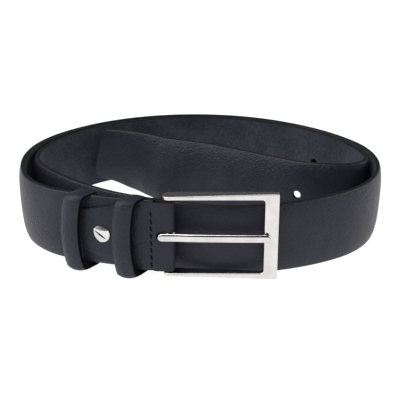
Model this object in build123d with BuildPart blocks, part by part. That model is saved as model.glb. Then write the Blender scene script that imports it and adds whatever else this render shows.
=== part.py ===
from build123d import *
import math
import os

os.makedirs("parts", exist_ok=True)

# A 35 mm dress belt stored as a loose coil of about two turns, standing on its lower edge.
# Z is up, the floor is z = 0 and the origin is the middle of the coil. All sizes are in mm.
# "u" runs through the belt's thickness, positive toward the grain side.

# strap
strap_width = 35
strap_half = 1.8
lining_thickness = 1.0
edge_face_u = 0.5
filler_crown_u = 0.6
filler_margin = 2.0
buckle_end = (-19.9, -63.3)
buckle_end_heading = 173.9
buckle_end_lift = 3.9

# bends from the buckle end, seen from above: (radius, degrees clockwise);
# a negative pair turns the other way and radius 0 is a straight of that length
lifted_bends = [(137.5, 20), (28, 13.6), (46, 35.5), (87, 8.8), (65, 66)]
outer_bends = [(107, 58), (93, 29), (50, 91), (100, 28.5), (60, 7)]
inner_bends = [(82, 9.5), (195, 10.5), (98, 34), (30, 52), (65, 42), (102.5, 55.5), (88.5, 29.5), (45.5, 25.5)]
tip_bends = [(10, 74), (20, 14.5), (45.5, 39.5), (0, 39.5), (-80, -9.7), (0, 54)]
all_bends = lifted_bends + outer_bends + inner_bends + tip_bends

# punched holes
hole_radius = 2.25
hole_count = 5
hole_pitch = 20.5
first_hole_from_tip = 115
tip_corner_radius = 9

# fold of leather that holds the buckle
chape_leather = 1.3
chape_height = 35
chape_front_end = 42.5
chape_back_end = 33
tongue_end_height = 20
tongue_root_height = 28.5
slot_height = 6
slot_left = -20.8
stitch_count = 8
stitch_pitch = 3.7
stitch_length = 2.9
stitch_radius = 0.3
stitch_station = 2.8
stitch_mid_z = 20.1

# screw pair through the strap end
screw_station = 26.1
screw_z = 21.1
barrel_radius = 2.4
shank_radius = 1.5
screw_head_radius = 4.2
screw_head_height = 1.5
post_flange_radius = 4.2
post_flange_height = 0.9
post_seat = 0.1
driver_slot = 1.1

# loops that hold the free end
fixed_loop_station = 17.3
free_loop_station = 42.6
loop_width = 9
loop_half_height = 21
loop_mid_z = 21.05
loop_wall = 2.6
loop_skin = 0.8
staple_radius = 0.45
staple_length = 6

# buckle
buckle_mid_z = 22
bar_x = -14.6
bar_y = -63.7
bar_radius = 1.4
bar_half_length = 19.6
running_gap = 0.05
frame_left = -17.3
frame_right = 35.9
frame_front = -67.4
frame_height_right = 44
frame_height_left = 40.6
window_right = 29.4
window_height = 37.4
frame_depth_bar = 6.2
frame_depth_end = 2.7

# prong
prong_wall = 1.95
prong_heel = 1
prong_height = 4
prong_tip_x = 32.4


def bend_length(radius, angle):
    if radius == 0:
        return angle
    return radius * math.radians(angle)


def strap_length(bends):
    return sum(bend_length(radius, angle) for radius, angle in bends)


lifted_length = strap_length(lifted_bends)
strap_mid_z = buckle_end_lift + strap_width / 2
full_length = strap_length(all_bends)


def heading_at(station):
    heading = math.radians(buckle_end_heading)
    for radius, angle in all_bends:
        step = min(station, bend_length(radius, angle))
        if radius != 0:
            heading -= step / radius
        station -= step
        if station <= 0:
            break
    return heading


def centre_at(station):
    x, y = buckle_end
    heading = math.radians(buckle_end_heading)
    for radius, angle in all_bends:
        step = min(station, bend_length(radius, angle))
        if radius == 0:
            turn = 0
            chord = step
        else:
            turn = step / radius
            chord = 2 * radius * math.sin(turn / 2)
        x += chord * math.cos(heading - turn / 2)
        y += chord * math.sin(heading - turn / 2)
        heading -= turn
        station -= step
        if station <= 0:
            break
    return x, y


def lift_at(station):
    # the buckle is taller than the strap, so the strap rises to the middle of it
    if station >= lifted_length:
        return 0
    t = station / lifted_length
    return buckle_end_lift * (1 - t) ** 2 * (1 + 2 * t)


def beside(station, u):
    # plan point at a distance u outward from the strap centreline
    x, y = centre_at(station)
    heading = heading_at(station)
    return x - u * math.sin(heading), y + u * math.cos(heading)


def across(station, z, u=0):
    # plane across the strap: local x outward, local y up
    x, y = beside(station, u)
    heading = heading_at(station)
    outward = (-math.sin(heading), math.cos(heading), 0)
    along = (math.cos(heading), math.sin(heading), 0)
    return Plane(origin=(x, y, z), x_dir=outward, z_dir=along)


def facing(station, z, u=0):
    # plane on the strap's face: local x toward the buckle end, local y up, normal outward
    x, y = beside(station, u)
    heading = heading_at(station)
    outward = (-math.sin(heading), math.cos(heading), 0)
    back = (-math.cos(heading), -math.sin(heading), 0)
    return Plane(origin=(x, y, z), x_dir=back, z_dir=outward)


def save(part, name):
    part.label = name
    export_step(part, "parts/" + name + ".step")


# Strap centreline: a rising first stretch, then arcs and straights on the floor.
rise_stations = [lifted_length * i / 16 for i in range(17)]
rise_points = [(*centre_at(s), lift_at(s)) for s in rise_stations]
start_heading = heading_at(0)
level_heading = heading_at(lifted_length)

with BuildLine() as strap_path:
    Spline(
        *rise_points,
        tangents=[
            (math.cos(start_heading), math.sin(start_heading), 0),
            (math.cos(level_heading), math.sin(level_heading), 0),
        ],
    )
    end = rise_points[-1]
    heading = level_heading
    for radius, angle in outer_bends + inner_bends + tip_bends:
        direction = (math.cos(heading), math.sin(heading))
        if radius == 0:
            bend = Line(end, (end[0] + angle * direction[0], end[1] + angle * direction[1], 0))
        else:
            bend = JernArc(end, direction, abs(radius), -angle)
            heading -= math.radians(angle)
        end = tuple(bend @ 1)

strap_wire = strap_path.wires()[0]
upper_wire = strap_wire.translate((0, 0, strap_width))


# Material taken out of every strap layer: the corners of the free end, the row of holes and the screw hole.
with BuildPart() as strap_cuts:
    with BuildSketch(facing(full_length, 0).offset(-3)):
        for z in (0, strap_width):
            with Locations((tip_corner_radius / 2 - 0.5, z)):
                Rectangle(tip_corner_radius + 1, 2 * tip_corner_radius)
        for z in (tip_corner_radius, strap_width - tip_corner_radius):
            with Locations((tip_corner_radius, z)):
                Circle(tip_corner_radius, mode=Mode.SUBTRACT)
    extrude(amount=6)
    for i in range(hole_count):
        station = full_length - first_hole_from_tip - i * hole_pitch
        with BuildSketch(facing(station, strap_width / 2).offset(-4)):
            Circle(hole_radius)
        extrude(amount=8)
    with BuildSketch(facing(screw_station, screw_z).offset(-4)):
        Circle(barrel_radius + running_gap)
    extrude(amount=8)

# Grain leather of the strap, raised over the filler and turned down to the lining at both edges.
with BuildPart() as strap_face_leather:
    with BuildSketch(across(0, buckle_end_lift)):
        with BuildLine():
            Line((edge_face_u, 0), (lining_thickness - strap_half, 0))
            Line((lining_thickness - strap_half, 0), (lining_thickness - strap_half, filler_margin))
            ThreePointArc(
                (lining_thickness - strap_half, filler_margin),
                (filler_crown_u, strap_width / 2),
                (lining_thickness - strap_half, strap_width - filler_margin),
            )
            Line(
                (lining_thickness - strap_half, strap_width - filler_margin),
                (lining_thickness - strap_half, strap_width),
            )
            Line((lining_thickness - strap_half, strap_width), (edge_face_u, strap_width))
            ThreePointArc((edge_face_u, strap_width), (strap_half, strap_width / 2), (edge_face_u, 0))
        make_face()
    sweep(path=strap_wire, binormal=upper_wire)
    add(strap_cuts.part, mode=Mode.SUBTRACT)
save(strap_face_leather.part, "strap_face_leather")

# Soft filler that gives the strap its raised middle.
with BuildPart() as strap_filler:
    with BuildSketch(across(0, buckle_end_lift)):
        with BuildLine():
            Line(
                (lining_thickness - strap_half, strap_width - filler_margin),
                (lining_thickness - strap_half, filler_margin),
            )
            ThreePointArc(
                (lining_thickness - strap_half, filler_margin),
                (filler_crown_u, strap_width / 2),
                (lining_thickness - strap_half, strap_width - filler_margin),
            )
        make_face()
    sweep(path=strap_wire, binormal=upper_wire)
    add(strap_cuts.part, mode=Mode.SUBTRACT)
save(strap_filler.part, "strap_filler")

# Suede lining on the inside of the coil.
with BuildPart() as strap_lining:
    with BuildSketch(across(0, buckle_end_lift)):
        with Locations((lining_thickness / 2 - strap_half, strap_width / 2)):
            Rectangle(lining_thickness, strap_width)
    sweep(path=strap_wire, binormal=upper_wire)
    add(strap_cuts.part, mode=Mode.SUBTRACT)
save(strap_lining.part, "strap_lining")

# Leather fold around the bar: a front tongue, a back leg and the slot that the prong turns in.
front_u = strap_half + 0.05
back_u = -strap_half - 0.05
fold_radius = bar_radius + running_gap + chape_leather
outer_face_u = front_u + chape_leather
inner_face_u = back_u - chape_leather
shoulder_start = 13
shoulder_end = 22

with BuildPart() as chape:
    with BuildSketch(Plane.XY.offset(strap_mid_z - chape_height / 2)):
        with BuildLine():
            front_root = beside(0, outer_face_u)
            front_tip = beside(chape_front_end, outer_face_u)
            front_tip_inner = beside(chape_front_end, front_u)
            throat_front = beside(-0.1, front_u)
            throat_back = beside(-0.1, back_u)
            back_tip_inner = beside(chape_back_end, back_u)
            back_tip = beside(chape_back_end, inner_face_u)
            back_root = beside(0, inner_face_u)
            fold_front = (bar_x, bar_y - fold_radius)
            fold_back = (bar_x, bar_y + fold_radius)
            Line(fold_front, front_root)
            ThreePointArc(front_root, beside(chape_front_end / 2, outer_face_u), front_tip)
            Line(front_tip, front_tip_inner)
            ThreePointArc(front_tip_inner, beside(chape_front_end / 2, front_u), throat_front)
            Line(throat_front, throat_back)
            ThreePointArc(throat_back, beside(chape_back_end / 2, back_u), back_tip_inner)
            Line(back_tip_inner, back_tip)
            ThreePointArc(back_tip, beside(chape_back_end / 2, inner_face_u), back_root)
            Line(back_root, fold_back)
            ThreePointArc(fold_back, (bar_x + fold_radius, bar_y), fold_front)
        make_face()
        with Locations((bar_x, bar_y)):
            Circle(bar_radius + running_gap, mode=Mode.SUBTRACT)
    extrude(amount=chape_height)
    # both legs narrow behind the fixed loop and taper on toward their ends
    with BuildSketch(facing(0, strap_mid_z).offset(-14)):
        for side in (1, -1):
            with BuildLine():
                Spline(
                    (-shoulder_start, side * (chape_height / 2 + 0.1)),
                    (-(shoulder_start + shoulder_end) / 2, side * 16.6),
                    (-shoulder_end, side * tongue_root_height / 2),
                )
                Polyline(
                    (-shoulder_end, side * tongue_root_height / 2),
                    (-chape_front_end, side * tongue_end_height / 2),
                    (-chape_front_end - 4, side * tongue_end_height / 2),
                    (-chape_front_end - 4, side * chape_height),
                    (-shoulder_start, side * chape_height),
                    (-shoulder_start, side * (chape_height / 2 + 0.1)),
                )
            make_face()
    extrude(amount=28, mode=Mode.SUBTRACT)
    # prong slot, rounded toward the strap and open at the fold
    with BuildSketch(Plane.XZ.offset(-bar_y - 8)):
        with Locations((slot_left + 7, buckle_mid_z)):
            SlotOverall(14, slot_height)
    extrude(amount=16, mode=Mode.SUBTRACT)
    with BuildSketch(facing(screw_station, screw_z).offset(-6)):
        Circle(barrel_radius + running_gap)
    extrude(amount=12, mode=Mode.SUBTRACT)
save(chape.part, "chape")


def stitch_row_solids(u):
    # a row of short thread stitches lying on one face of the fold
    with BuildPart() as row:
        for i in range(stitch_count):
            z = stitch_mid_z + (i - (stitch_count - 1) / 2) * stitch_pitch
            with BuildSketch(facing(stitch_station, z, u)):
                SlotOverall(stitch_length, 2 * stitch_radius, rotation=90)
            extrude(amount=stitch_radius, both=True)
    return row.part


save(stitch_row_solids(outer_face_u + stitch_radius), "stitches_front")
save(stitch_row_solids(inner_face_u - stitch_radius), "stitches_back")

# Screw pair through fold and strap: a flanged hollow post from behind, a slotted domed screw in front.
with BuildPart() as screw_post:
    with BuildSketch(facing(screw_station, screw_z, inner_face_u - post_seat - post_flange_height)):
        Circle(post_flange_radius)
    extrude(amount=post_flange_height)
    fillet(screw_post.edges().filter_by(GeomType.CIRCLE), radius=0.3)
    with BuildSketch(facing(screw_station, screw_z, inner_face_u - post_flange_height / 2)):
        Circle(barrel_radius)
    extrude(amount=outer_face_u - inner_face_u + post_flange_height / 2 - 0.2)
    with BuildSketch(facing(screw_station, screw_z, inner_face_u + 0.6)):
        Circle(shank_radius + running_gap)
    extrude(amount=12, mode=Mode.SUBTRACT)
save(screw_post.part, "screw_post")

head_plane = across(screw_station, screw_z)
with BuildPart() as screw:
    with BuildSketch(head_plane):
        with BuildLine():
            Polyline(
                (outer_face_u + screw_head_height, 0),
                (outer_face_u, 0),
                (outer_face_u, screw_head_radius),
                (outer_face_u + 0.5, screw_head_radius),
            )
            ThreePointArc(
                (outer_face_u + 0.5, screw_head_radius),
                (outer_face_u + 1.26, screw_head_radius / 2),
                (outer_face_u + screw_head_height, 0),
            )
        make_face()
    revolve(axis=Axis(head_plane.origin, head_plane.x_dir))
    with BuildSketch(facing(screw_station, screw_z, inner_face_u + 1)):
        Circle(shank_radius)
    extrude(amount=outer_face_u - inner_face_u - 0.5)
    with BuildSketch(facing(screw_station, screw_z, outer_face_u + 0.8)):
        Rectangle(3 * screw_head_radius, driver_slot, rotation=-35)
    extrude(amount=3, mode=Mode.SUBTRACT)
save(screw.part, "screw")


def make_loop(name, station, mid_z, inner_u, outer_u):
    # a padded strip bent round the strap in a leather skin, its ends stapled together behind
    start = across(station, mid_z, (inner_u + outer_u) / 2).offset(-loop_width / 2)
    gap_depth = outer_u - inner_u
    gap_height = 2 * (loop_half_height - loop_wall)
    padding = 2 * (loop_wall - loop_skin)
    with BuildPart() as pad:
        with BuildSketch(start.offset(loop_skin)):
            RectangleRounded(gap_depth + padding, gap_height + padding, 2.4)
            RectangleRounded(gap_depth + loop_skin, gap_height + loop_skin, 1.2, mode=Mode.SUBTRACT)
        extrude(amount=loop_width - 2 * loop_skin)
    save(pad.part, name + "_pad")
    with BuildPart() as cover:
        with BuildSketch(start):
            RectangleRounded(gap_depth + 2 * loop_wall, gap_height + 2 * loop_wall, 3.2)
        extrude(amount=loop_width)
        ends = cover.faces().filter_by(lambda face: abs(face.normal_at().dot(start.z_dir)) > 0.99)
        fillet(ends.edges(), radius=1.1)
        with BuildSketch(start):
            RectangleRounded(gap_depth, gap_height, 0.8)
        extrude(amount=loop_width, mode=Mode.SUBTRACT)
        add(pad.part, mode=Mode.SUBTRACT)
    save(cover.part, name + "_cover")
    with BuildPart() as staple:
        with BuildSketch(facing(station, mid_z, inner_u - loop_wall - staple_radius)):
            SlotOverall(staple_length, 2 * staple_radius)
        extrude(amount=staple_radius, both=True)
    save(staple.part, name + "_staple")


make_loop("fixed_loop", fixed_loop_station, loop_mid_z, inner_face_u - 0.1, outer_face_u + 0.1)
make_loop("free_loop", free_loop_station, loop_mid_z, -strap_half - 0.45, outer_face_u + 0.4)

# Buckle frame: flat in front, a broad free bar on the right, arms that deepen toward the heel bar.
with BuildPart() as buckle_frame:
    with BuildSketch(Plane.XZ.offset(-frame_front)) as front_view:
        with BuildLine():
            Polyline(
                (frame_left, buckle_mid_z - frame_height_left / 2),
                (frame_right, buckle_mid_z - frame_height_right / 2),
                (frame_right, buckle_mid_z + frame_height_right / 2),
                (frame_left, buckle_mid_z + frame_height_left / 2),
                close=True,
            )
        make_face()
        fillet(front_view.vertices().group_by(Axis.X)[-1], radius=1.2)
        with Locations(((frame_left - 10 + window_right) / 2, buckle_mid_z)):
            RectangleRounded(window_right - frame_left + 10, window_height, 1.4, mode=Mode.SUBTRACT)
    extrude(amount=-frame_depth_bar)
    with BuildSketch(Plane.XY) as top_view:
        with BuildLine():
            Polyline(
                (frame_left, frame_front),
                (frame_right, frame_front),
                (frame_right, frame_front + frame_depth_end),
                (bar_x + 4, frame_front + frame_depth_bar),
                (frame_left, frame_front + frame_depth_bar),
                close=True,
            )
        make_face()
        fillet(top_view.vertices().group_by(Axis.X)[0], radius=2.2)
    extrude(amount=2 * buckle_mid_z, mode=Mode.INTERSECT)
    fillet(buckle_frame.edges().filter_by_position(Axis.Y, frame_front - 0.1, frame_front + 0.1), radius=0.45)
    with BuildSketch(Plane.XY.offset(buckle_mid_z - bar_half_length)):
        with Locations((bar_x, bar_y)):
            Circle(bar_radius)
    extrude(amount=2 * bar_half_length, mode=Mode.SUBTRACT)
save(buckle_frame.part, "buckle_frame")

with BuildPart() as heel_bar:
    with BuildSketch(Plane.XY.offset(buckle_mid_z - bar_half_length)):
        with Locations((bar_x, bar_y)):
            Circle(bar_radius)
    extrude(amount=2 * bar_half_length)
save(heel_bar.part, "heel_bar")

# Prong: an eye round the heel bar and a finger that rests on the free bar.
prong_eye = bar_radius + running_gap + prong_wall
prong_mid_y = frame_front - 0.05 - prong_wall / 2
heel_end_x = bar_x - prong_heel - prong_eye

with BuildPart() as prong:
    with BuildLine() as finger_path:
        Spline(
            (bar_x, bar_y - prong_eye + prong_wall / 2),
            (8, prong_mid_y + 0.15),
            (prong_tip_x, prong_mid_y),
            tangents=[(1, -0.05), (1, 0.02)],
        )
    with BuildSketch(Plane(origin=finger_path.line @ 0, x_dir=(0, 0, 1), z_dir=finger_path.line % 0)):
        with Locations((buckle_mid_z, 0)):
            RectangleRounded(prong_height, prong_wall, 0.9)
    sweep(path=finger_path.line)
    with BuildSketch(Plane.XY.offset(buckle_mid_z - prong_height / 2)):
        with Locations((bar_x - prong_heel, bar_y)):
            Circle(prong_eye)
    extrude(amount=prong_height)
    with BuildSketch(Plane.XZ.offset(-bar_y - 8)):
        with Locations(((prong_tip_x + heel_end_x) / 2, buckle_mid_z)):
            RectangleRounded(prong_tip_x - heel_end_x, prong_height, 1.7)
    extrude(amount=16, mode=Mode.INTERSECT)
    with BuildSketch(Plane.XY.offset(buckle_mid_z - prong_height / 2)):
        with Locations((bar_x, bar_y)):
            Circle(bar_radius + running_gap)
    extrude(amount=prong_height, mode=Mode.SUBTRACT)
save(prong.part, "prong")
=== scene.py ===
import bpy
import bmesh
import math
import numpy as np
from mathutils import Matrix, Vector


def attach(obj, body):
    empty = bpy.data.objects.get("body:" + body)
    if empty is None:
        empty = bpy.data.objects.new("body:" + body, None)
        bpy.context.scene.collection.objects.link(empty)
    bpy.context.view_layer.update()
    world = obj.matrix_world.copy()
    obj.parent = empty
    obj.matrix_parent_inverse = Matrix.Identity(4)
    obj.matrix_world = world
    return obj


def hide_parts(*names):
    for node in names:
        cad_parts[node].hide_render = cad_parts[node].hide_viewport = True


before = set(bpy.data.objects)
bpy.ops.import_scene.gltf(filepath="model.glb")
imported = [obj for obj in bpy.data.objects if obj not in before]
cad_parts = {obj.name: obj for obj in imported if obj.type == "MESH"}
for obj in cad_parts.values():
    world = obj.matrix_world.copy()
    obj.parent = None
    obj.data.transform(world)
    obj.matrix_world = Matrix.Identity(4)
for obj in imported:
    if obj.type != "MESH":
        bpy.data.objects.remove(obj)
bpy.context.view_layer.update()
MM = 0.001

# ---------------------------------------------------------------- strap route (as in the CAD)
# bends as (radius, degrees) from the buckle end, lengths in mm; radius 0 is a straight of that length
LIFTED = [(137.5, 20), (28, 13.6), (46, 35.5), (87, 8.8), (65, 66)]
REST = [(107, 58), (93, 29), (50, 91), (100, 28.5), (60, 7), (82, 9.5), (195, 10.5), (98, 34),
        (30, 52), (65, 42), (102.5, 55.5), (88.5, 29.5), (45.5, 25.5), (10, 74), (20, 14.5),
        (45.5, 39.5), (0, 39.5), (-80, -9.7), (0, 54)]
BENDS = LIFTED + REST
START = (-19.9, -63.3)
START_HEADING = math.radians(173.9)
BUCKLE_LIFT = 3.9          # height of the buckle end's lower edge above the ground
WIDTH = 35.0
HALF = 1.8                 # half thickness of the strap
MID_Z = 21.4               # middle height of the fold
BUCKLE_Z = 22.0            # middle height of the buckle
BAR = (-14.6, -63.7)       # the heel bar's centre
BAR_RADIUS = 1.45          # inside of the leather and of the prong's eye round the bar
STRAP_START = 2.0          # the strap's hidden end, inside the chape
FREE_END = 175             # length of the free end, which leans and drifts off the route
TIP_BLEND = 16             # length over which the end is slanted
HOLE_COUNT, HOLE_PITCH, FIRST_HOLE, HOLE_RADIUS = 5, 20.5, 115, 2.15


def run_of(radius, angle):
    return angle if radius == 0 else radius * math.radians(angle)


RISE = sum(run_of(*b) for b in LIFTED)
FULL = sum(run_of(*b) for b in BENDS)


def route(station):
    """x, y and heading of the strap's middle line."""
    x, y = START
    heading = START_HEADING
    left = station
    for radius, angle in BENDS:
        step = min(left, run_of(radius, angle))
        if (radius, angle) == BENDS[-1]:
            step = left
        turn = 0.0 if radius == 0 else step / radius
        chord = step if radius == 0 else 2 * radius * math.sin(turn / 2)
        x += chord * math.cos(heading - turn / 2)
        y += chord * math.sin(heading - turn / 2)
        heading -= turn
        left -= step
        if left <= 0:
            break
    return x, y, heading


def lift(station):
    if station >= RISE:
        return 0.0
    t = max(station, 0.0) / RISE
    return BUCKLE_LIFT * (1 - t) ** 2 * (1 + 2 * t)


def place(station, u, z):
    x, y, h = route(station)
    return (x - u * math.sin(h), y + u * math.cos(h), z)


def knots(value, table):
    """Value from a short list of (position, value), joined by a monotone cubic curve."""
    if value <= table[0][0]:
        return table[0][1]
    if value >= table[-1][0]:
        return table[-1][1]
    rates = [(vb - va) / (b - a) for (a, va), (b, vb) in zip(table, table[1:])]

    def slope(i):
        if i == 0 or i == len(rates) or rates[i - 1] * rates[i] <= 0:
            return 0.0
        return 2 * rates[i - 1] * rates[i] / (rates[i - 1] + rates[i])

    for i, ((a, va), (b, vb)) in enumerate(zip(table, table[1:])):
        if value <= b:
            w = b - a
            t = (value - a) / w
            return (va * (1 + 2 * t) * (1 - t) ** 2 + vb * t * t * (3 - 2 * t)
                    + slope(i) * w * t * (1 - t) ** 2 - slope(i + 1) * w * t * t * (1 - t))


# ---------------------------------------------------------------- materials
def new_material(name):
    m = bpy.data.materials.new(name)
    m.use_nodes = True
    nt = m.node_tree
    bsdf = nt.nodes["Principled BSDF"]
    return m, nt, bsdf


def link(nt, a, b):
    nt.links.new(a, b)


def noise(nt, coord, scale, detail=4, rough=0.55, stretch=None):
    n = nt.nodes.new("ShaderNodeTexNoise")
    n.inputs["Scale"].default_value = scale
    n.inputs["Detail"].default_value = detail
    n.inputs["Roughness"].default_value = rough
    if stretch:
        mp = nt.nodes.new("ShaderNodeMapping")
        mp.inputs["Scale"].default_value = stretch
        link(nt, coord, mp.inputs["Vector"])
        coord = mp.outputs["Vector"]
    link(nt, coord, n.inputs["Vector"])
    return n.outputs["Fac"]


def ramp(nt, fac, stops):
    r = nt.nodes.new("ShaderNodeValToRGB")
    r.color_ramp.elements[0].position = stops[0][0]
    r.color_ramp.elements[0].color = (*stops[0][1], 1)
    r.color_ramp.elements[1].position = stops[-1][0]
    r.color_ramp.elements[1].color = (*stops[-1][1], 1)
    for p, c in stops[1:-1]:
        e = r.color_ramp.elements.new(p)
        e.color = (*c, 1)
    link(nt, fac, r.inputs["Fac"])
    return r.outputs["Color"]


def maths(nt, op, a, b):
    n = nt.nodes.new("ShaderNodeMath")
    n.operation = op
    for i, v in enumerate((a, b)):
        if isinstance(v, (int, float)):
            n.inputs[i].default_value = v
        else:
            link(nt, v, n.inputs[i])
    return n.outputs[0]


def spread(nt, value, low, high, target, first=0.0, last=1.0):
    """Feed an input with a value whose run from first to last becomes low to high."""
    r = nt.nodes.new("ShaderNodeMapRange")
    r.inputs["From Min"].default_value = first
    r.inputs["From Max"].default_value = last
    r.inputs["To Min"].default_value = low
    r.inputs["To Max"].default_value = high
    link(nt, value, r.inputs["Value"])
    link(nt, r.outputs["Result"], target)


def mix(nt, a, share, b):
    """Sum of two values, share of a and the rest of b."""
    return maths(nt, "ADD", maths(nt, "MULTIPLY", a, share), maths(nt, "MULTIPLY", b, round(1 - share, 3)))


def bump(nt, height, strength, distance, below=None):
    b = nt.nodes.new("ShaderNodeBump")
    b.inputs["Strength"].default_value = strength
    b.inputs["Distance"].default_value = distance
    link(nt, height, b.inputs["Height"])
    if below is not None:
        link(nt, below, b.inputs["Normal"])
    return b.outputs["Normal"]


def coords(nt):
    return nt.nodes.new("ShaderNodeTexCoord").outputs["Object"]


def leather(name, dark, light, roughness, grain):
    m, nt, bsdf = new_material(name)
    co = coords(nt)
    broad = noise(nt, co, 45, 3)
    fine = noise(nt, co, 900, 3)
    tone = mix(nt, broad, 0.6, fine)
    link(nt, ramp(nt, tone, [(0.35, dark), (0.65, light)]), bsdf.inputs["Base Color"])
    pebbles = nt.nodes.new("ShaderNodeTexVoronoi")
    pebbles.inputs["Scale"].default_value = grain
    warp = nt.nodes.new("ShaderNodeMapping")
    warp.inputs["Scale"].default_value = (1.0, 1.0, 0.72)
    link(nt, co, warp.inputs["Vector"])
    link(nt, warp.outputs["Vector"], pebbles.inputs["Vector"])
    cells = maths(nt, "POWER", pebbles.outputs["Distance"], 0.7)
    wrinkle = noise(nt, co, 230, 5, 0.6)
    n1 = bump(nt, cells, 0.75, 0.0003)
    n2 = bump(nt, wrinkle, 0.34, 0.0008, n1)
    link(nt, n2, bsdf.inputs["Normal"])
    spread(nt, wrinkle, roughness - 0.06, roughness + 0.08, bsdf.inputs["Roughness"])
    bsdf.inputs["Specular IOR Level"].default_value = 0.31
    bsdf.inputs["Specular Tint"].default_value = (0.80, 0.82, 1.0, 1.0)
    return m


def suede(name):
    m, nt, bsdf = new_material(name)
    co = coords(nt)
    blotch = noise(nt, co, 60, 5, 0.65)
    fibre = noise(nt, co, 850, 5, 0.75)
    tone = mix(nt, blotch, 0.45, fibre)
    link(nt, ramp(nt, tone, [(0.38, (0.013, 0.015, 0.021)), (0.5, (0.027, 0.030, 0.041)),
                             (0.63, (0.052, 0.057, 0.075))]), bsdf.inputs["Base Color"])
    n1 = bump(nt, fibre, 0.5, 0.00025)
    n2 = bump(nt, blotch, 0.2, 0.0009, n1)
    link(nt, n2, bsdf.inputs["Normal"])
    spread(nt, blotch, 0.72, 0.95, bsdf.inputs["Roughness"])
    bsdf.inputs["Specular IOR Level"].default_value = 0.2
    bsdf.inputs["Sheen Weight"].default_value = 0.05
    bsdf.inputs["Sheen Roughness"].default_value = 0.5
    return m


def edge_paint(name):
    m, nt, bsdf = new_material(name)
    co = coords(nt)
    wave = noise(nt, co, 400, 3)
    link(nt, ramp(nt, wave, [(0.3, (0.004, 0.004, 0.006)), (0.7, (0.011, 0.011, 0.015))]),
         bsdf.inputs["Base Color"])
    link(nt, bump(nt, wave, 0.2, 0.0003), bsdf.inputs["Normal"])
    spread(nt, wave, 0.26, 0.42, bsdf.inputs["Roughness"])
    bsdf.inputs["Specular IOR Level"].default_value = 0.25
    bsdf.inputs["Coat Weight"].default_value = 0.06
    bsdf.inputs["Coat Roughness"].default_value = 0.25
    return m


def raw_edge(name, low=(0.010, 0.010, 0.012), high=(0.032, 0.030, 0.032), shine=0.5):
    m, nt, bsdf = new_material(name)
    co = coords(nt)
    fibre = noise(nt, co, 1500, 4, 0.7)
    link(nt, ramp(nt, fibre, [(0.3, low), (0.7, high)]), bsdf.inputs["Base Color"])
    bsdf.inputs["Specular IOR Level"].default_value = shine
    link(nt, bump(nt, fibre, 0.5, 0.0002), bsdf.inputs["Normal"])
    spread(nt, fibre, 0.7, 0.95, bsdf.inputs["Roughness"])
    return m


def thread(name):
    m, nt, bsdf = new_material(name)
    co = coords(nt)
    twist = nt.nodes.new("ShaderNodeTexWave")
    twist.bands_direction = "DIAGONAL"
    twist.inputs["Scale"].default_value = 900
    twist.inputs["Distortion"].default_value = 1.5
    link(nt, co, twist.inputs["Vector"])
    link(nt, ramp(nt, twist.outputs["Fac"], [(0.2, (0.0015, 0.0015, 0.002)), (0.8, (0.006, 0.006, 0.007))]),
         bsdf.inputs["Base Color"])
    link(nt, bump(nt, twist.outputs["Fac"], 0.6, 0.00012), bsdf.inputs["Normal"])
    spread(nt, twist.outputs["Fac"], 0.5, 0.7, bsdf.inputs["Roughness"])
    bsdf.inputs["Specular IOR Level"].default_value = 0.08
    return m


def metal(name, tint_low, tint_high, rough_low, rough_high):
    m, nt, bsdf = new_material(name)
    co = coords(nt)
    smudge = noise(nt, co, 120, 4)
    brush = noise(nt, co, 600, 3, 0.6, (1, 1, 0.05))
    link(nt, ramp(nt, smudge, [(0.3, tint_low), (0.7, tint_high)]), bsdf.inputs["Base Color"])
    spread(nt, mix(nt, smudge, 0.5, brush), rough_low, rough_high, bsdf.inputs["Roughness"], 0.3, 0.7)
    link(nt, bump(nt, brush, 0.05, 0.00005), bsdf.inputs["Normal"])
    bsdf.inputs["Metallic"].default_value = 1.0
    return m


GRAIN = leather("grain_leather", (0.0105, 0.0101, 0.0155), (0.0225, 0.0216, 0.0320), 0.42, 1350)
LOOP_GRAIN = leather("loop_leather", (0.0140, 0.0137, 0.0205), (0.0260, 0.0252, 0.0370), 0.38, 1500)
LOOP_EDGE = leather("loop_edge", (0.0075, 0.0072, 0.0110), (0.0140, 0.0135, 0.0200), 0.5, 1500)
SUEDE = suede("suede_lining")
PAINT = edge_paint("painted_edge")
RAW = raw_edge("raw_edge")
# the loops' backing ply: a real ply, its near-black colour painted shade of the hollow beside each loop's rim
BACKING_PAINTED_SHADE = raw_edge("loop_backing_painted_shade", (0.0012, 0.0012, 0.0016), (0.0045, 0.0045, 0.006), 0.05)
THREAD = thread("waxed_thread")
NICKEL = metal("polished_nickel", (0.60, 0.578, 0.568), (0.72, 0.697, 0.686), 0.07, 0.15)
WIRE = metal("staple_wire", (0.42, 0.42, 0.42), (0.60, 0.60, 0.59), 0.25, 0.42)


# ---------------------------------------------------------------- mesh helpers
def make_mesh(name, verts, faces, mats, face_mats, sharp=38):
    me = bpy.data.meshes.new(name)
    me.from_pydata([tuple(c * MM for c in v) for v in verts], [], faces)
    for m in mats:
        me.materials.append(m)
    me.polygons.foreach_set("material_index", face_mats)
    me.polygons.foreach_set("use_smooth", [True] * len(me.polygons))
    me.update()
    bm = bmesh.new()
    bm.from_mesh(me)
    bmesh.ops.recalc_face_normals(bm, faces=bm.faces)
    bm.to_mesh(me)
    bm.free()
    me.set_sharp_from_angle(angle=math.radians(sharp))
    ob = bpy.data.objects.new(name, me)
    bpy.context.scene.collection.objects.link(ob)
    return ob


def skin(first, rings, size, closed=False):
    """Faces between equal rings of vertices that follow one another from number first."""
    faces = []
    for k in range(rings if closed else rings - 1):
        a, b = first + k * size, first + (k + 1) % rings * size
        for g in range(size):
            q = (g + 1) % size
            faces.append((a + g, a + q, b + q, b + g))
    return faces


def cap(first, size):
    return tuple(range(first, first + size))


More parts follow.
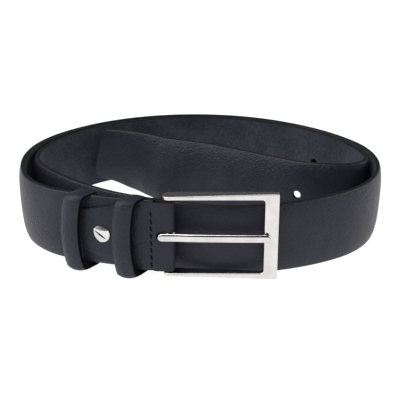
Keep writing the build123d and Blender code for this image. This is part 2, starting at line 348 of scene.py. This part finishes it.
def cut(ob, cutters, wall):
    """Boolean difference, applied, with the cut walls in their own material."""
    ob.data.materials.append(wall)
    for c in cutters:
        c.data.materials.clear()
        for m in ob.data.materials:
            c.data.materials.append(m)
        c.data.polygons.foreach_set("material_index", [len(ob.data.materials) - 1] * len(c.data.polygons))
        mod = ob.modifiers.new("cut", "BOOLEAN")
        mod.operation = "DIFFERENCE"
        mod.solver = "EXACT"
        mod.object = c
    bpy.context.view_layer.update()
    dg = bpy.context.evaluated_depsgraph_get()
    me = bpy.data.meshes.new_from_object(ob.evaluated_get(dg))
    ob.modifiers.clear()
    old = ob.data
    ob.data = me
    bpy.data.meshes.remove(old)
    for c in cutters:
        bpy.data.objects.remove(c)
    ob.data.set_sharp_from_angle(angle=math.radians(38))


def rod(name, centre, axis, radius, length, segments=40):
    """Plain cylinder used only as a cutting tool."""
    bm = bmesh.new()
    bmesh.ops.create_cone(bm, cap_ends=True, segments=segments, radius1=radius * MM, radius2=radius * MM,
                          depth=length * MM)
    me = bpy.data.meshes.new(name)
    bm.to_mesh(me)
    bm.free()
    ob = bpy.data.objects.new(name, me)
    ob.rotation_mode = "QUATERNION"
    ob.rotation_quaternion = Vector((0, 0, 1)).rotation_difference(Vector(axis))
    ob.location = Vector(centre) * MM
    bpy.context.scene.collection.objects.link(ob)
    return ob


# ---------------------------------------------------------------- strap
def face_u(t):
    """Outer face height of the padded strap at a distance t from its nearer edge."""
    t = max(t, 0.0)
    return 0.15 + 1.65 * (1 - math.exp(-t / 4.3)) / (1 - math.exp(-17.5 / 4.3))


# free end, by distance from the nominal end: lean in degrees, then drift outward
LEAN = [(-175, 0.0), (-150, 2.5), (-126, 7.0), (-103, 10.0), (-86, 12.0), (-58, 14.0), (-37, 14.0),
        (-28, 8.6), (-24, 5.9), (-19, 2.1), (-14, 0.0), (6, 0.0)]
DRIFT = [(-175, 0.0), (-138, 1.6), (-103, 1.0), (-58, 1.4), (-37, 1.6), (-28, -0.2), (-24, -1.1),
         (-19, -2.2), (-14, -2.8), (-5, -1.8), (0, -0.5), (6, 1.6)]
TIP_RISE = [(-16, 0.0), (-5, 2.8), (6, 5.4)]       # how far the lower edge curls up at the end
# the rest of the strap, by distance from the buckle end: lean in degrees
SWAY = [(0, 0.0), (60, 0.0), (100, 1.0), (150, -0.5), (230, 0.5), (330, -0.75), (420, 0.5), (480, 0.0),
        (620, 0.75), (700, -0.25), (800, 0.0)]


def tip_end(z):
    """How far the slanted free end reaches past the nominal end at height z."""
    if z > 32.5:
        q = (z - 32.5) / 2.5
        return 0.8 - 2.4 * (1 - math.sqrt(max(0.0, 1 - q * q)))
    slant = 5.4 - 4.6 * (z - 7.0) / 25.5
    if z < 7.0:
        q = (7.0 - z) / 7.0
        return slant - 6.0 * (1 - math.sqrt(max(0.0, 1 - q * q)))
    return slant


def relax(p):
    """The coil springs a little wider than its middle line, most of all along its upper edge."""
    x, y, z = p
    left = max(0.0, min(1.0, (-62.0 - x) / 28.0))
    right = max(0.0, min(1.0, (x - 45.0) / 42.0))
    back = max(0.0, min(1.0, (y - 25.0) / 40.0))
    left, right, back = (t * t * (3 - 2 * t) for t in (left, right, back))
    x += right * (1.3 + 0.9 * z / WIDTH) - left * (1.3 + 1.5 * z / WIDTH)
    y += back * 1.2
    kick = max(0.0, min(1.0, (y - 15.0) / 25.0)) * max(0.0, min(1.0, (-28.0 - x) / 22.0))
    y += 2.6 * kick * (1 - z / WIDTH)
    return (x, y, z)


def build_strap():
    """Padded strap swept along its route: grain face outward, lining inward, painted edges."""
    heights = [0.35, 0.9, 1.7, 2.7, 4.0, 5.6, 7.6, 10.0, 12.5, 15.0, 17.5, 20.0, 22.5, 25.0, 27.4, 29.4, 31.0,
               32.3, 33.3, 34.1, 34.65]
    # one cross-section as (u, z, kind): 0 the grain face, 1 the painted edges, 2 the lining
    ring = [(face_u(min(z, WIDTH - z)), z, 0) for z in heights]
    ring += [(0.05, 34.93, 1), (-0.2, 35.0, 1), (-0.8, 35.02, 1), (-1.4, 35.0, 1), (-1.68, 34.93, 1)]
    ring += [(-HALF, z, 2) for z in reversed(heights)]
    ring += [(-1.68, 0.07, 1), (-1.4, 0.0, 1), (-0.8, 0.0, 1), (-0.2, 0.0, 1), (0.05, 0.07, 1)]
    n = len(ring)
    rim = 5                # points round each edge, between the two faces
    count = int(FULL / 1.25)
    verts = []
    tail = FULL - TIP_BLEND
    for i in range(count + 1):
        base = STRAP_START + (FULL - STRAP_START) * i / count
        for u, z, _ in ring:
            s = base
            if base > tail:
                s = tail + (base - tail) * (FULL + tip_end(z) - tail) / (FULL - tail)
            free = s > FULL - FREE_END
            tilt = math.radians(knots(s - FULL, LEAN) if free else knots(s, SWAY))
            thin = 1.0         # the last few millimetres are pared down
            if s > FULL - 6:
                thin = 1.0 - 0.22 * min(1.0, (s - FULL + 6) / 11) ** 2
            uu = u * thin - (z - WIDTH / 2) * math.tan(tilt) + knots(s - FULL, DRIFT)
            zz = z * math.cos(tilt) + lift(s) + knots(s - FULL, TIP_RISE) * (1 - z / WIDTH)
            verts.append(relax(place(s, uu, zz)))
    faces = skin(0, count + 1, n)
    kinds = [a[2] if a[2] == b[2] else 1 for a, b in zip(ring, ring[1:] + ring[:1])] * count
    m = len(heights)
    pairs = [(j, m + rim + (m - 1 - j)) for j in range(m)]
    for end in (0, count):
        o = end * n
        for (a, b), (c, d) in zip(pairs, pairs[1:]):
            faces.append((o + a, o + b, o + d, o + c))
            kinds.append(1)
        top = [o + pairs[-1][0]] + [o + m + j for j in range(rim)] + [o + pairs[-1][1]]
        bottom = [o + pairs[0][1]] + [o + 2 * m + rim + j for j in range(rim)] + [o + pairs[0][0]]
        for poly in (top, bottom):
            faces.append(tuple(poly))
            kinds.append(1)
    ob = make_mesh("strap", verts, faces, [GRAIN, PAINT, SUEDE], kinds, 50)
    cutters = []
    for i in range(HOLE_COUNT):
        s = FULL - FIRST_HOLE - HOLE_PITCH * i
        x, y, h = route(s)
        tilt = math.radians(knots(s - FULL, LEAN))
        drift = knots(s - FULL, DRIFT)
        axis = (-math.sin(h) * math.cos(tilt), math.cos(h) * math.cos(tilt), math.sin(tilt))
        middle = relax(place(s, drift, WIDTH / 2))
        cutters.append(rod("hole_cutter", middle, axis, HOLE_RADIUS, 7))
    cut(ob, cutters, RAW)
    return ob


strap = build_strap()
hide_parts("strap_face_leather", "strap_filler", "strap_lining")
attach(strap, "strap")


# ---------------------------------------------------------------- chape
OUT = 1.85                 # the fold's inner face, measured from the strap's middle line
LEATHER = 1.3
FRONT = OUT + LEATHER
CHAPE_FRONT, CHAPE_BACK, CHAPE_HALF = 42.5, 33.0, 17.6
SLOT_LEFT, SLOT_HALF = -20.7, 2.35
STITCH_STATION, STITCH_COUNT, STITCH_PITCH, STITCH_MID_Z = 2.8, 8, 3.7, 20.1
STITCH_REACH, STITCH_SLANT, THREAD_RADIUS = 1.5, 0.28, 0.42
GROOVE = 0.65              # depth of the stitched line
SWELL = 0.6                # how far the fold swells over the bar


def chape_half(d):
    """Half height of the fold at a distance d from the strap's end."""
    return knots(d, [(-12, CHAPE_HALF), (12.5, CHAPE_HALF), (21.5, 14.3), (CHAPE_FRONT, 10.1)])


def build_chape():
    """Leather fold: from the front's end to the heel bar, round it and back behind the strap."""
    radius = BAR_RADIUS + LEATHER / 2
    verts, faces, kinds = [], [], []
    across = 25
    cols = [math.sin(math.pi * (j / (across - 1) - 0.5)) * 0.5 + 0.5 for j in range(across)]
    cols = [0.35 * c + 0.65 * j / (across - 1) for j, c in enumerate(cols)]
    outer, inner = [], []

    def add_row(point, normal, half, droop):
        a, b = [], []
        for c in cols:
            z = (2 * c - 1) * half
            edge = min(c, 1 - c) * 2 * half
            u = droop(z)
            t = LEATHER * (1 - 0.35 * math.exp(-edge / 1.2))
            px, py = point
            nx, ny = normal
            a.append((px + nx * (u + t / 2), py + ny * (u + t / 2), MID_Z + z))
            b.append((px + nx * (u - t / 2), py + ny * (u - t / 2), MID_Z + z))
        outer.append(a)
        inner.append(b)

    for d in np.linspace(CHAPE_FRONT, 0.0, 36):
        d = float(d)
        blend = knots(d, [(0, 0.0), (5, 0.25), (13, 1.0)])
        dimple = GROOVE * math.exp(-((d - STITCH_STATION) / 0.9) ** 2)
        x, y, h = route(d)
        n = (-math.sin(h), math.cos(h))

        def droop(z, blend=blend, dimple=dimple):
            height = MID_Z + z - lift(0)
            follow = face_u(min(height, WIDTH - height)) + 0.05 + LEATHER / 2
            flat = OUT + LEATHER / 2
            return flat + (follow - flat) * blend - dimple

        add_row((x, y), n, chape_half(d), droop)
    steps = 16
    p0 = place(0, OUT + LEATHER / 2, 0)
    p1 = place(0, -OUT - LEATHER / 2, 0)
    ang0 = math.atan2(p0[1] - BAR[1], p0[0] - BAR[0])
    d0 = math.hypot(p0[0] - BAR[0], p0[1] - BAR[1])
    start = ang0 + math.acos(radius / d0)
    ang1 = math.atan2(p1[1] - BAR[1], p1[0] - BAR[0])
    d1 = math.hypot(p1[0] - BAR[0], p1[1] - BAR[1])
    stop = ang1 - math.acos(radius / d1)
    while stop < start:
        stop += 2 * math.pi
    t0 = (BAR[0] + radius * math.cos(start), BAR[1] + radius * math.sin(start))
    for k in range(1, 4):
        f = k / 4
        add_row((p0[0] + (t0[0] - p0[0]) * f, p0[1] + (t0[1] - p0[1]) * f),
                (math.cos(start), math.sin(start)), CHAPE_HALF, lambda z, f=f: SWELL * f * f)
    for k in range(steps + 1):
        a = start + (stop - start) * k / steps
        swell = SWELL * max(0.0, -math.sin(a)) ** 2
        add_row((BAR[0] + radius * math.cos(a), BAR[1] + radius * math.sin(a)), (math.cos(a), math.sin(a)),
                CHAPE_HALF, lambda z, swell=swell: swell)
    t1 = (BAR[0] + radius * math.cos(stop), BAR[1] + radius * math.sin(stop))
    for k in range(1, 4):
        f = k / 4
        add_row((t1[0] + (p1[0] - t1[0]) * f, t1[1] + (p1[1] - t1[1]) * f),
                (math.cos(stop), math.sin(stop)), CHAPE_HALF, lambda z: 0.0)
    for d in np.linspace(0.0, CHAPE_BACK, 22):
        x, y, h = route(float(d))
        add_row((x, y), (math.sin(h), -math.cos(h)), chape_half(float(d)), lambda z: OUT + LEATHER / 2)
    total = len(outer)
    for r in outer:
        verts += r
    for r in inner:
        verts += r
    off = total * across
    for i in range(total - 1):
        for j in range(across - 1):
            a = i * across + j
            faces.append((a, a + 1, a + across + 1, a + across))
            kinds.append(0)
            faces.append((off + a, off + a + across, off + a + across + 1, off + a + 1))
            kinds.append(2)
        for j in (0, across - 1):
            a = i * across + j
            faces.append((a, a + across, off + a + across, off + a))
            kinds.append(1)
    for i in (0, total - 1):
        for j in range(across - 1):
            a = i * across + j
            faces.append((a, a + 1, off + a + 1, off + a))
            kinds.append(1)
    ob = make_mesh("chape", verts, faces, [GRAIN, PAINT, RAW], kinds, 50)
    # the slot that the prong turns in: a rounded opening through the fold
    bm = bmesh.new()
    outline = []
    half = SLOT_HALF
    for k in range(13):
        a = math.pi / 2 + math.pi * k / 12
        outline.append((SLOT_LEFT + half + half * math.cos(a), half * math.sin(a)))
    outline += [(-5.0, -half), (-5.0, half)]
    bottom = [bm.verts.new((x * MM, -0.075, (BUCKLE_Z + z) * MM)) for x, z in outline]
    top = [bm.verts.new((x * MM, -0.0545, (BUCKLE_Z + z) * MM)) for x, z in outline]
    bm.faces.new(bottom)
    bm.faces.new(list(reversed(top)))
    for k in range(len(outline)):
        q = (k + 1) % len(outline)
        bm.faces.new((bottom[k], top[k], top[q], bottom[q]))
    bmesh.ops.recalc_face_normals(bm, faces=bm.faces)
    me = bpy.data.meshes.new("slot_cutter")
    bm.to_mesh(me)
    bm.free()
    slot = bpy.data.objects.new("slot_cutter", me)
    bpy.context.scene.collection.objects.link(slot)
    cut(ob, [slot], RAW)
    return ob


chape = build_chape()
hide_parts("chape")
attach(chape, "strap")


# ---------------------------------------------------------------- stitches
def build_stitches(name, side):
    """Slanted stitches along the fold's end, sunk in the groove in front and proud of it behind."""
    verts, faces = [], []
    x, y, h = route(STITCH_STATION)
    n = Vector((-math.sin(h), math.cos(h), 0)) * side
    along = Vector((math.cos(h), math.sin(h), 0))
    base = Vector((x, y, 0)) + n * (FRONT - GROOVE + 0.16 if side > 0 else FRONT + 0.12)
    for i in range(STITCH_COUNT):
        z0 = STITCH_MID_Z + (i - (STITCH_COUNT - 1) / 2) * STITCH_PITCH
        ring0 = len(verts)
        sections, segs = 9, 10
        for k in range(sections):
            t = 2 * k / (sections - 1) - 1
            centre = base + Vector((0, 0, z0 + t * STITCH_REACH)) + along * (STITCH_SLANT * t)
            centre -= n * (THREAD_RADIUS * t ** 4)
            rad = THREAD_RADIUS * math.sqrt(max(0.05, 1 - abs(t) ** 5))
            for g in range(segs):
                a = 2 * math.pi * g / segs
                verts.append(tuple(centre + n * (rad * math.cos(a)) + along * (rad * math.sin(a))))
        faces += skin(ring0, sections, segs)
        faces += [cap(ring0, segs), cap(ring0 + (sections - 1) * segs, segs)]
    return make_mesh(name, verts, faces, [THREAD], [0] * len(faces), 60)


for name, side in (("stitches_front", 1), ("stitches_back", -1)):
    row = build_stitches(name + "_thread", side)
    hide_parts(name)
    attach(row, "strap")


# ---------------------------------------------------------------- loops
BACK_BOW = 0.9             # how far a loop's back stands off the strap at mid height
SKIN_HALF = 4.1            # half width of the band's puffed face
STAPLE_REACH, STAPLE_HEIGHTS, WIRE_RADIUS = 3.0, (14.0, 28.0), 0.4


def build_loop(name, station, low, high, inner_u, outer_u, bow, shear, curl):
    """A puffed leather band: low and high are its hollow's ends, bow lifts its front off the strap,
    shear carries its back toward the buckle and curl carries its front's middle away from it."""
    half_u = (outer_u - inner_u) / 2
    mid_u = (outer_u + inner_u) / 2
    half_z = (high - low) / 2
    mid_z = (high + low) / 2
    rc = min(1.9, half_u - 0.2)
    corners = []
    for cx, cz, a0 in ((1, 1, 0), (-1, 1, 90), (-1, -1, 180), (1, -1, 270)):
        for k in range(10):
            a = math.radians(a0 + 90 * k / 9)
            corners.append((cx * (half_u - rc) + rc * math.cos(a), cz * (half_z - rc) + rc * math.sin(a),
                            math.cos(a), math.sin(a)))
    full = []
    for k, p in enumerate(corners):
        q = corners[(k + 1) % len(corners)]
        full.append(p)
        parts = int(math.hypot(q[0] - p[0], q[1] - p[1]) / 1.3)
        for g in range(1, parts):
            f = g / parts
            full.append((p[0] + (q[0] - p[0]) * f, p[1] + (q[1] - p[1]) * f, p[2], p[3]))
    # round the band: 0 its grain face, 1 its edges, 2 its inside, 3 the backing ply that shows beside it,
    # coloured near black as painted shade of the hollow under the loop
    section = []
    for k in range(17):
        w = -1 + 2 * k / 16
        section.append((w * SKIN_HALF, 1.15 + 1.15 * (1 - abs(w) ** 2.2), 0))
    section += [(4.33, 1.02, 1), (4.38, 0.72, 1), (4.33, 0.35, 1), (4.15, 0.08, 1)]
    section += [(2.0, 0.0, 2), (-2.0, 0.0, 2)]
    section += [(-5.1, 0.0, 3), (-5.25, 0.18, 3), (-5.1, 0.36, 3), (-4.33, 0.40, 3)]
    section += [(-4.38, 0.72, 1), (-4.33, 1.02, 1)]
    x, y, h = route(station)
    verts = []
    for u, z, nu, nz in full:
        q = max(0.0, 1 - (z / half_z) ** 2)
        extra = bow * q ** 0.7 if nu > 0.5 else -BACK_BOW * q ** 0.7 if nu < -0.5 else 0.0
        puff = 0.6 + 0.4 * max(0.0, nu)
        for w, t, _ in section:
            uu = u + nu * t * puff + extra + mid_u
            zz = mid_z + z + nz * t * puff
            ww = w + shear * (u + extra) + (curl * q if nu > 0.5 else 0.0)
            verts.append((x - uu * math.sin(h) + ww * math.cos(h),
                          y + uu * math.cos(h) + ww * math.sin(h), zz))
    faces = skin(0, len(full), len(section), closed=True)
    kinds = []
    for a, b in zip(section, section[1:] + section[:1]):
        ends = {a[2], b[2]}
        kinds.append(a[2] if len(ends) == 1 else 3 if ends in ({0, 3}, {1, 3}) else 1)
    kinds *= len(full)
    return make_mesh(name, verts, faces, [LOOP_GRAIN, LOOP_EDGE, RAW, BACKING_PAINTED_SHADE], kinds, 50)


def build_staple(name, station, depth_u, ww):
    """Wire staple lying across the loop's joint behind the strap, its ends turned into the leather."""
    x, y, h = route(station)
    path = []
    for k in range(25):
        t = -1 + k / 12
        out = 0.42 - 1.5 * max(0.0, abs(t) - 0.78) / 0.22
        path.append((t * STAPLE_REACH, depth_u - out))
    verts, faces = [], []
    segs = 10
    for z0 in STAPLE_HEIGHTS:
        first = len(verts)
        for w, u in path:
            for g in range(segs):
                a = 2 * math.pi * g / segs
                uu, zz = u + WIRE_RADIUS * math.cos(a), z0 + WIRE_RADIUS * math.sin(a)
                verts.append((x - uu * math.sin(h) + (w + ww) * math.cos(h),
                              y + uu * math.cos(h) + (w + ww) * math.sin(h), zz))
        faces += skin(first, len(path), segs)
        faces += [cap(first, segs), cap(first + (len(path) - 1) * segs, segs)]
    return make_mesh(name, verts, faces, [WIRE], [0] * len(faces), 60)


for name, body, station, low, high, inner_u, outer_u, bow, shear, curl in (
        ("fixed_loop", "strap", 12.0, 1.42, 39.0, -FRONT - 0.4, FRONT + 1.7, 1.8, 0.44, 1.0),
        ("free_loop", "free_loop", 37.3, 1.42, 38.4, -FRONT - 1.3, FRONT + 1.2, 2.1, 0.32, 1.0)):
    band = build_loop(name, station, low, high, inner_u, outer_u, bow, shear, curl)
    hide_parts(name + "_cover", name + "_pad")
    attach(band, body)
    wire = build_staple(name + "_wire", station, inner_u - 1.32, shear * inner_u)
    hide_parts(name + "_staple")
    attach(wire, body)


# ---------------------------------------------------------------- prong
def build_prong():
    """Flat finger with both ends rounded, its eye round the heel bar."""
    left, right, half = -19.9, 32.4, 2.0
    half_thick, eye_radius = 0.975, 3.2
    stations = [left + half * (1 - math.cos(math.pi * k / 24)) for k in range(13)]
    stations += [left + half + (right - left - 2 * half) * k / 40 for k in range(1, 40)]
    stations += [right - half + half * math.sin(math.pi * k / 24) for k in range(13)]
    verts, faces = [], []
    segs = 36
    for x in stations:
        end = max(0.0, left + half - x, x - right + half) / half
        tall = half * math.sqrt(max(0.004, 1 - end * end))
        thick = half_thick * (0.55 + 0.45 * math.sqrt(max(0.0, 1 - end * end)))
        mid = knots(x, [(left, -67.25), (-12, -67.35), (-4, -67.85), (12, -68.25), (26, -68.45),
                        (right, -68.42)])
        for g in range(segs):
            a = 2 * math.pi * g / segs
            c, v = math.cos(a), math.sin(a)
            verts.append((x, mid + thick * math.copysign(abs(c) ** 0.85, c),
                          BUCKLE_Z + tall * math.copysign(abs(v) ** 0.8, v)))
    faces += skin(0, len(stations), segs)
    faces += [cap(0, segs), cap((len(stations) - 1) * segs, segs)]
    first = len(verts)
    turns = 48
    section = [(BAR_RADIUS, -1.9), (eye_radius - 0.2, -1.9), (eye_radius, -1.7),
               (eye_radius, 1.7), (eye_radius - 0.2, 1.9), (BAR_RADIUS, 1.9)]
    for k in range(turns):
        a = 2 * math.pi * k / turns
        for r, z in section:
            verts.append((BAR[0] + r * math.cos(a), BAR[1] + r * math.sin(a), BUCKLE_Z + z))
    faces += skin(first, turns, len(section), closed=True)
    return make_mesh("prong_finger", verts, faces, [NICKEL], [0] * len(faces), 40)


prong = build_prong()
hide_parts("prong")
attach(prong, "prong")


# ---------------------------------------------------------------- metal nodes keep their CAD shape
for node in ("buckle_frame", "heel_bar", "screw", "screw_post"):
    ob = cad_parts[node]
    for s in ob.material_slots:
        s.material = NICKEL
    if not ob.material_slots:
        ob.data.materials.append(NICKEL)


# ---------------------------------------------------------------- floor, light, camera
bm = bmesh.new()
bmesh.ops.create_grid(bm, x_segments=1, y_segments=1, size=3.0)
me = bpy.data.meshes.new("floor")
bm.to_mesh(me)
bm.free()
floor = bpy.data.objects.new("floor", me)
floor.location = (0, 0, -0.0002)
bpy.context.scene.collection.objects.link(floor)
m, nt, bsdf = new_material("floor_white")
bsdf.inputs["Base Color"].default_value = (0.22, 0.22, 0.22, 1)
bsdf.inputs["Roughness"].default_value = 0.9
bsdf.inputs["Emission Color"].default_value = (1, 1, 1, 1)
bsdf.inputs["Emission Strength"].default_value = 0.96
me.materials.append(m)

world = bpy.data.worlds.new("studio")
bpy.context.scene.world = world
world.use_nodes = True
wt = world.node_tree
bg = wt.nodes["Background"]
around = wt.nodes.new("ShaderNodeTexCoord").outputs["Generated"]


def sky(direction, stops):
    """Tone of the surroundings by how near they lie to one direction."""
    dot = wt.nodes.new("ShaderNodeVectorMath")
    dot.operation = "DOT_PRODUCT"
    dot.inputs[1].default_value = Vector(direction).normalized()
    link(wt, around, dot.inputs[0])
    return ramp(wt, dot.outputs["Value"], stops)


both = wt.nodes.new("ShaderNodeVectorMath")
both.operation = "MULTIPLY"
link(wt, sky((0.0, -0.62, 0.78), [(0.0, (0.70, 0.70, 0.72)), (0.62, (0.26, 0.26, 0.27)),
                                  (0.86, (0.03, 0.03, 0.035))]), both.inputs[0])
link(wt, sky((0.0, 0.91, 0.41), [(0.70, (1, 1, 1)), (0.93, (0.16, 0.155, 0.155))]), both.inputs[1])
link(wt, both.outputs["Vector"], bg.inputs["Color"])
bg.inputs["Strength"].default_value = 1.0


def area(name, where, towards, size, power):
    li = bpy.data.lights.new(name, "AREA")
    li.shape = "RECTANGLE"
    li.size, li.size_y = size
    li.energy = power
    ob = bpy.data.objects.new(name, li)
    ob.location = where
    ob.rotation_euler = (Vector(towards) - Vector(where)).to_track_quat("-Z", "Y").to_euler()
    bpy.context.scene.collection.objects.link(ob)


area("key_left", (-0.95, -0.22, 0.60), (0, 0, 0.02), (0.7, 0.7), 5)
area("fill_right", (0.95, -0.12, 0.5), (0, 0, 0.02), (0.6, 0.6), 3.3)
area("top", (-0.35, -0.35, 0.95), (0, 0, 0), (0.8, 0.8), 8)

ELEVATION, DISTANCE = math.radians(24.2), 0.538
cam_data = bpy.data.cameras.new("camera")
cam_data.sensor_width = 36
cam_data.lens = 86.94
cam_data.clip_start = 0.01
cam = bpy.data.objects.new("camera", cam_data)
aim = Vector((-0.0003, 0.0241, 0.0))
cam.location = aim + Vector((0, -math.cos(ELEVATION), math.sin(ELEVATION))) * DISTANCE
cam.rotation_euler = (math.pi / 2 - ELEVATION, 0, 0)
bpy.context.scene.collection.objects.link(cam)
bpy.context.scene.camera = cam
bpy.context.scene.view_settings.view_transform = "Standard"
